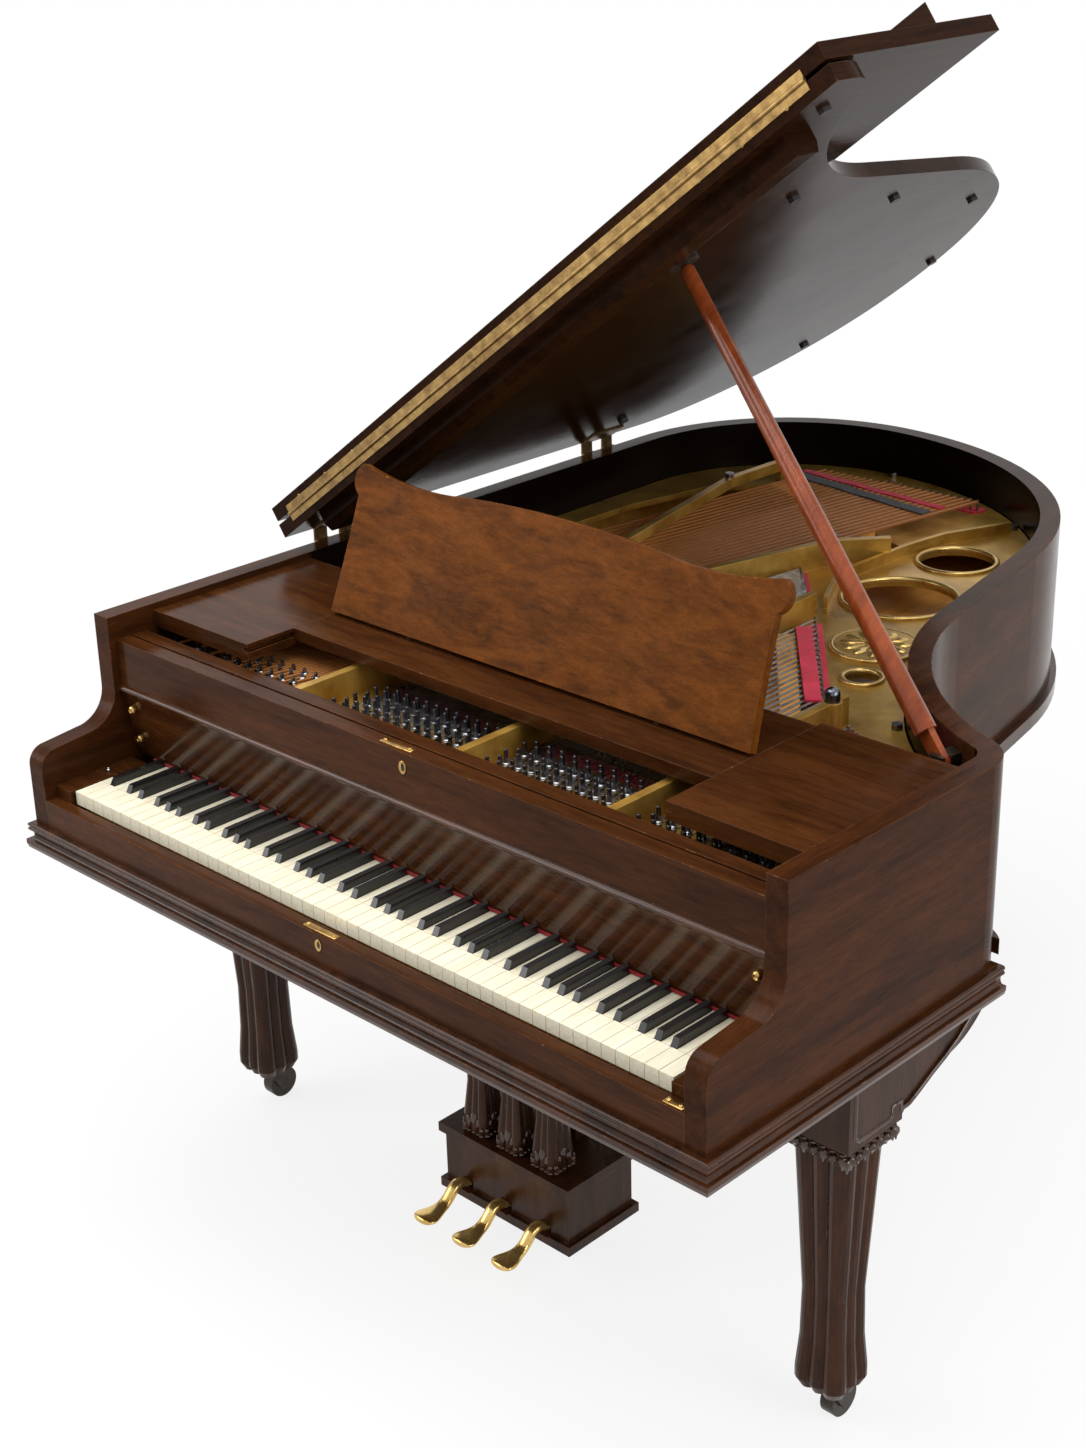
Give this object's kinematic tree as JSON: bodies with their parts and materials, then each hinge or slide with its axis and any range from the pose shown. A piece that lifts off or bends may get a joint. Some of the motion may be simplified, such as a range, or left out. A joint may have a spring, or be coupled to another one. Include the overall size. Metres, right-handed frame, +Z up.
{
  "type": "grand piano",
  "caption": "Grand piano with a raised lid on its prop, a folded front flap, a sliding music desk, a cast plate with strings, square fluted legs on casters and a pedal lyre.",
  "frame": {"origin": "on the floor, under the middle of the whole part's box in the stored pose", "axes": "+X to the treble side, +Y from the player to the tail, +Z up"},
  "size_m": [1.4252, 1.831, 1.8683],
  "materials": {
    "case_wood": "gloss lacquer with worn edges",
    "desk_wood": "satin lacquer, mottled figure",
    "prop_wood": "gloss lacquer",
    "inner_wood": "dark stain",
    "pale_wood": "varnish",
    "plate_bronze": "bronze paint, satin",
    "brass": "polished, aged",
    "steel": "drawn wire and blued pins",
    "copper_wire": "wound wire",
    "red_felt": "felt",
    "ivory": "polished",
    "ebony": "polished",
    "black_wood": "black lacquer",
    "rubber": "matt",
    "dark_iron": "dark paint"
  },
  "bodies": {
    "case": {"outer_rim": "case_wood", "inner_rim": "inner_wood", "keybed": "case_wood", "key_slip": "case_wood", "key_blocks": "case_wood", "case_mouldings": "case_wood", "back_frame": "inner_wood", "stretcher": "case_wood", "pinblock": "inner_wood", "soundboard": "pale_wood", "soundboard_ribs": "pale_wood", "bridges": "pale_wood", "plate": "plate_bronze", "plate_bolts": "steel", "tuning_pins": "steel", "hitch_pins": "steel", "bass_strings": "copper_wire", "treble_strings": "steel", "felt_strips": "red_felt", "side_shelves": "case_wood", "lid_hinge_fixed_leaves": "brass", "prop_bracket": "dark_iron", "pedal_box": "case_wood", "lyre_posts": "case_wood", "front_left_leg": "case_wood", "front_right_leg": "case_wood", "rear_leg": "case_wood"},
    "lid": {"lid_panel": "case_wood", "lid_batten": "case_wood", "lid_bumpers": "rubber", "lid_hinge_leaves": "brass", "flap_hinge_lid_leaf": "brass", "prop_cup": "dark_iron"},
    "flap": {"lid_flap": "case_wood", "flap_rail": "case_wood", "flap_hinge_leaf": "brass"},
    "prop": {"prop_stick": "prop_wood"},
    "tray": {"music_tray": "case_wood"},
    "desk": {"music_desk": "desk_wood"},
    "struts": {"desk_struts": "desk_wood"},
    "fallboard": {"fallboard": "case_wood"},
    "fallboard_flap": {"fallboard_flap": "case_wood"},
    "key_frame": {"key_frame": "pale_wood"},
    "naturals": {"white_keys": "ivory"},
    "sharps": {"black_keys": "ebony"},
    "natural_hammers": {"white_key_hammers": "pale_wood"},
    "sharp_hammers": {"black_key_hammers": "pale_wood"},
    "dampers": {"dampers": "black_wood"},
    "left_pedal": {"left_pedal": "brass"},
    "left_pedal_rod": {"left_pedal_rod": "steel"},
    "middle_pedal": {"middle_pedal": "brass"},
    "middle_pedal_rod": {"middle_pedal_rod": "steel"},
    "right_pedal": {"right_pedal": "brass"},
    "right_pedal_rod": {"right_pedal_rod": "steel"},
    "front_left_caster": {"front_left_caster_fork": "brass"},
    "front_left_wheel": {"front_left_caster_wheel": "brass"},
    "front_right_caster": {"front_right_caster_fork": "brass"},
    "front_right_wheel": {"front_right_caster_wheel": "brass"},
    "rear_caster": {"rear_caster_fork": "brass"},
    "rear_wheel": {"rear_caster_wheel": "brass"}
  },
  "joints": [
    {"name": "lid_hinge", "type": "hinge", "parent": "case", "child": "lid", "pos_m": [-0.68237, -0.9015, 0.981], "axis": [0, -1, 0], "range_deg": [0, 20]},
    {"name": "flap_hinge", "type": "hinge", "parent": "lid", "child": "flap", "pos_m": [-0.13733, -0.3585, 1.41307], "axis": [0.8072, 0, 0.5903], "range_deg": [0, 180]},
    {"name": "prop_pivot", "type": "hinge", "parent": "case", "child": "prop", "pos_m": [0.60263, -0.3035, 0.93], "axis": [-0.2287, -0.9735, 0], "range_deg": [0, 42.64]},
    {"name": "tray_slide", "type": "slide", "parent": "case", "child": "tray", "axis": [0, 1, 0], "range_m": [-0.1, 0]},
    {"name": "desk_tilt", "type": "hinge", "parent": "tray", "child": "desk", "pos_m": [0.01263, -0.4855, 0.966], "axis": [1, 0, 0], "range_deg": [-70.5, 0]},
    {"name": "strut_fold", "type": "hinge", "parent": "desk", "child": "struts", "pos_m": [0.01263, -0.45195, 1.02838], "axis": [1, 0, 0], "range_deg": [-0.01, 114.55]},
    {"name": "fallboard_hinge", "type": "hinge", "parent": "case", "child": "fallboard", "pos_m": [0.01263, -0.7235, 0.744], "axis": [1, 0, 0], "range_deg": [0, 80.18]},
    {"name": "fallboard_flap_hinge", "type": "hinge", "parent": "fallboard", "child": "fallboard_flap", "pos_m": [0.01263, -0.7415, 0.848], "axis": [1, 0, 0], "range_deg": [0, 22]},
    {"name": "keyboard_shift", "type": "slide", "parent": "case", "child": "key_frame", "axis": [1, 0, 0], "range_m": [-0.00001, 0.00251]},
    {"name": "natural_dip", "type": "hinge", "parent": "key_frame", "child": "naturals", "pos_m": [0.01263, -0.6395, 0.697], "axis": [1, 0, 0], "range_deg": [0, 2.44], "stiffness_Nm_per_rad": 30, "springref_deg": -8.59},
    {"name": "sharp_dip", "type": "hinge", "parent": "key_frame", "child": "sharps", "pos_m": [0.01263, -0.6395, 0.697], "axis": [1, 0, 0], "range_deg": [0, 2.44], "stiffness_Nm_per_rad": 20, "springref_deg": -8.59},
    {"name": "natural_blow", "type": "hinge", "parent": "key_frame", "child": "natural_hammers", "pos_m": [0.01263, -0.5675, 0.79], "axis": [1, 0, 0], "range_deg": [-0.01, 22.93]},
    {"name": "sharp_blow", "type": "hinge", "parent": "key_frame", "child": "sharp_hammers", "pos_m": [0.01263, -0.5675, 0.79], "axis": [1, 0, 0], "range_deg": [-0.01, 22.93]},
    {"name": "damper_lift", "type": "slide", "parent": "case", "child": "dampers", "axis": [0, 0, 1], "range_m": [-0.00001, 0.00515]},
    {"name": "left_press", "type": "hinge", "parent": "case", "child": "left_pedal", "pos_m": [-0.07337, -0.4975, 0.082], "axis": [1, 0, 0], "range_deg": [0, 4.87], "stiffness_Nm_per_rad": 60, "springref_deg": -5.73},
    {"name": "left_rod_lift", "type": "slide", "parent": "case", "child": "left_pedal_rod", "axis": [0, 0, 1], "range_m": [-0.00001, 0.00515]},
    {"name": "middle_press", "type": "hinge", "parent": "case", "child": "middle_pedal", "pos_m": [0.01263, -0.4975, 0.082], "axis": [1, 0, 0], "range_deg": [0, 4.87], "stiffness_Nm_per_rad": 60, "springref_deg": -5.73},
    {"name": "middle_rod_lift", "type": "slide", "parent": "case", "child": "middle_pedal_rod", "axis": [0, 0, 1], "range_m": [-0.00001, 0.00515]},
    {"name": "right_press", "type": "hinge", "parent": "case", "child": "right_pedal", "pos_m": [0.09863, -0.4975, 0.082], "axis": [1, 0, 0], "range_deg": [0, 4.87], "stiffness_Nm_per_rad": 60, "springref_deg": -5.73},
    {"name": "right_rod_lift", "type": "slide", "parent": "case", "child": "right_pedal_rod", "axis": [0, 0, 1], "range_m": [-0.00001, 0.00515]},
    {"name": "front_left_swivel", "type": "hinge", "parent": "case", "child": "front_left_caster", "pos_m": [-0.60237, -0.5415, 0.066], "axis": [0, 0, 1], "continuous": true},
    {"name": "front_left_roll", "type": "hinge", "parent": "front_left_caster", "child": "front_left_wheel", "pos_m": [-0.60237, -0.5215, 0.028], "axis": [1, 0, 0], "continuous": true},
    {"name": "front_right_swivel", "type": "hinge", "parent": "case", "child": "front_right_caster", "pos_m": [0.62763, -0.5415, 0.066], "axis": [0, 0, 1], "continuous": true},
    {"name": "front_right_roll", "type": "hinge", "parent": "front_right_caster", "child": "front_right_wheel", "pos_m": [0.62763, -0.5215, 0.028], "axis": [1, 0, 0], "continuous": true},
    {"name": "rear_swivel", "type": "hinge", "parent": "case", "child": "rear_caster", "pos_m": [-0.11737, 0.5785, 0.066], "axis": [0, 0, 1], "continuous": true},
    {"name": "rear_roll", "type": "hinge", "parent": "rear_caster", "child": "rear_wheel", "pos_m": [-0.11737, 0.5985, 0.028], "axis": [1, 0, 0], "continuous": true}
  ],
  "couplings": [
    {"joint": "strut_fold", "follows": "desk_tilt", "ratio": -1.6247},
    {"joint": "natural_blow", "follows": "natural_dip", "ratio": 9.4118},
    {"joint": "sharp_blow", "follows": "sharp_dip", "ratio": 9.4118},
    {"joint": "damper_lift", "follows": "right_press", "m_per_rad": 0.0605},
    {"joint": "keyboard_shift", "follows": "left_press", "m_per_rad": 0.029412},
    {"joint": "left_rod_lift", "follows": "left_press", "m_per_rad": 0.0605},
    {"joint": "middle_rod_lift", "follows": "middle_press", "m_per_rad": 0.0605},
    {"joint": "right_rod_lift", "follows": "right_press", "m_per_rad": 0.0605}
  ]
}
